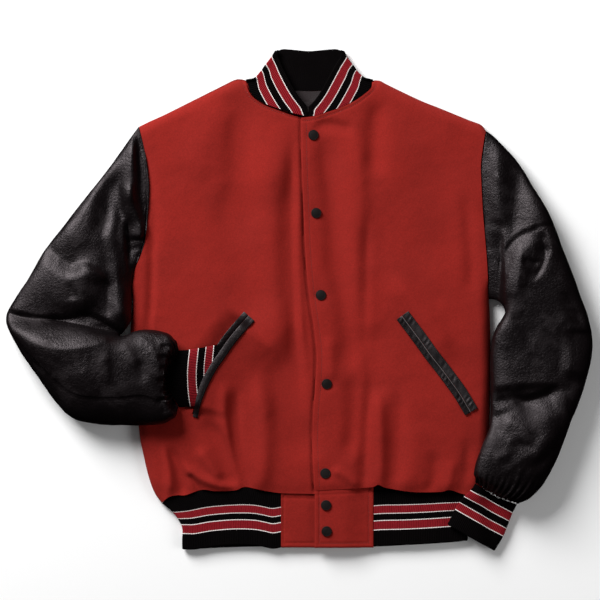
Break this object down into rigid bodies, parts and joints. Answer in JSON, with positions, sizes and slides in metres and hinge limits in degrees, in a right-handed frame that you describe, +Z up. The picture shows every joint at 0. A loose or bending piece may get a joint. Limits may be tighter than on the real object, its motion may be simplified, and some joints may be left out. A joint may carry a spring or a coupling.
{
  "type": "varsity jacket",
  "caption": "Varsity jacket laid flat on its back: wool body, leather sleeves, striped rib collar, cuffs and waistband, snap front, one cuff tucked into a welt pocket.",
  "frame": {"origin": "on the surface that the jacket lies on, below the middle of its bounding box", "axes": "+Z up out of the surface, the jacket's front side up; +Y towards its neck; +X towards the wearer's left sleeve"},
  "size_m": [0.8793, 0.754, 0.0658],
  "materials": {
    "red_wool": "matt melton wool with a short brushed nap",
    "black_leather": "soft semi-gloss full-grain leather",
    "black_rib": "matt rib knit, knitted in with red and off-white stripes",
    "charcoal_lining": "satin lining",
    "black_enamel": "matt black enamel on brass"
  },
  "bodies": {
    "root": {"back_panel": "red_wool", "front_right": "red_wool", "front_left": "red_wool", "tab_right": "red_wool", "tab_left": "red_wool", "sleeve_right_front": "black_leather", "sleeve_right_back": "black_leather", "sleeve_left_front": "black_leather", "sleeve_left_back": "black_leather", "welt_right_inner": "black_leather", "welt_right_outer": "black_leather", "welt_left_inner": "black_leather", "welt_left_outer": "black_leather", "cuff_right": "black_rib", "cuff_left": "black_rib", "waistband": "black_rib", "collar": "black_rib", "neck_lining": "charcoal_lining", "snap_1": "black_enamel", "snap_2": "black_enamel", "snap_3": "black_enamel", "snap_4": "black_enamel", "snap_5": "black_enamel", "snap_6": "black_enamel", "snap_7": "black_enamel"}
  },
  "joints": []
}
